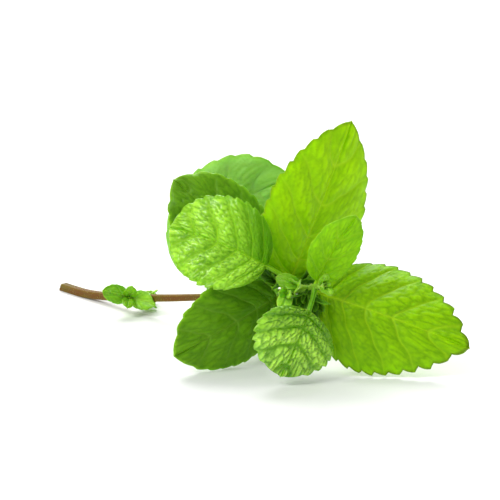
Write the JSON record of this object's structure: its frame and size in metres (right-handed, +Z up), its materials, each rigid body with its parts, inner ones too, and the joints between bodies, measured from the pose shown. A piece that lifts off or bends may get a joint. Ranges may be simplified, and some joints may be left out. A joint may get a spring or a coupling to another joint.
{
  "type": "mint sprig",
  "caption": "Cut sprig of a leafy herb lying on a table: a thin square stem that rises to a head of toothed, quilted leaves in crossed pairs.",
  "frame": {"origin": "on the table, under the middle of the stretch of stem that lies flat, just in from the cut end", "axes": "+Z up from the table; the stem runs from the cut end towards +X and -Y; the shoot tip looks towards -Y"},
  "size_m": [0.1379, 0.113, 0.0759],
  "materials": {
    "stem": "satin, green tinged with red-brown",
    "leaf": "soft sheen, quilted, translucent against the light",
    "young_leaf": "soft sheen, pale yellow-green"
  },
  "bodies": {
    "root": {"stem": "stem", "leaf_1_upper": "leaf", "leaf_1_lower": "leaf", "leaf_2_right": "leaf", "leaf_2_left": "leaf", "leaf_3_upper": "leaf", "leaf_3_lower": "leaf", "leaf_4_left": "leaf", "leaf_4_right": "leaf", "leaf_5_upper": "leaf", "leaf_5_lower": "leaf", "shoot_tip": "young_leaf", "side_shoot_2l": "young_leaf", "side_shoot_3": "young_leaf", "side_shoot_4l": "young_leaf", "side_shoot_4r": "young_leaf", "side_shoot_5": "young_leaf", "side_shoot_6l": "young_leaf", "side_shoot_6r": "young_leaf"}
  },
  "joints": []
}
